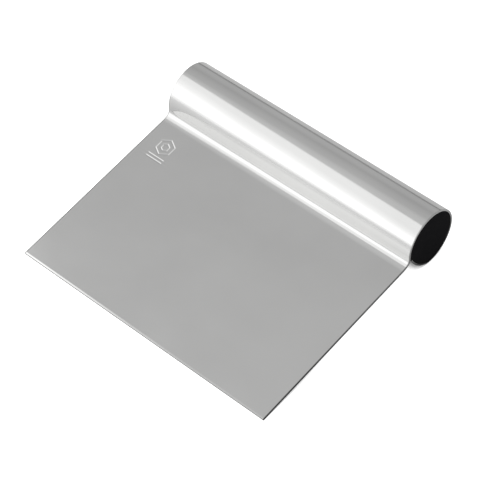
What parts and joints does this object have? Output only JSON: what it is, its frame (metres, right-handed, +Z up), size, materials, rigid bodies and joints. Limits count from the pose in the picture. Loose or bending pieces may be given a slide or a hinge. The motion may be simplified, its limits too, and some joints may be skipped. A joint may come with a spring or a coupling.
{
  "type": "bench scraper",
  "caption": "Stainless steel bench scraper: a flat rectangular blade rolled at the back into a tubular handle, closed at each end by a black plug.",
  "frame": {"origin": "middle of the resting footprint, on the surface that the cutting edge and the bottom of the handle both touch", "axes": "+X along the handle, +Y from the cutting edge towards the handle, +Z up"},
  "size_m": [0.152, 0.1338, 0.0314],
  "materials": {
    "steel": "satin",
    "plug": "matte black"
  },
  "bodies": {
    "root": {"rolled_sheet": "steel", "end_plug_left": "plug", "end_plug_right": "plug"}
  },
  "joints": []
}
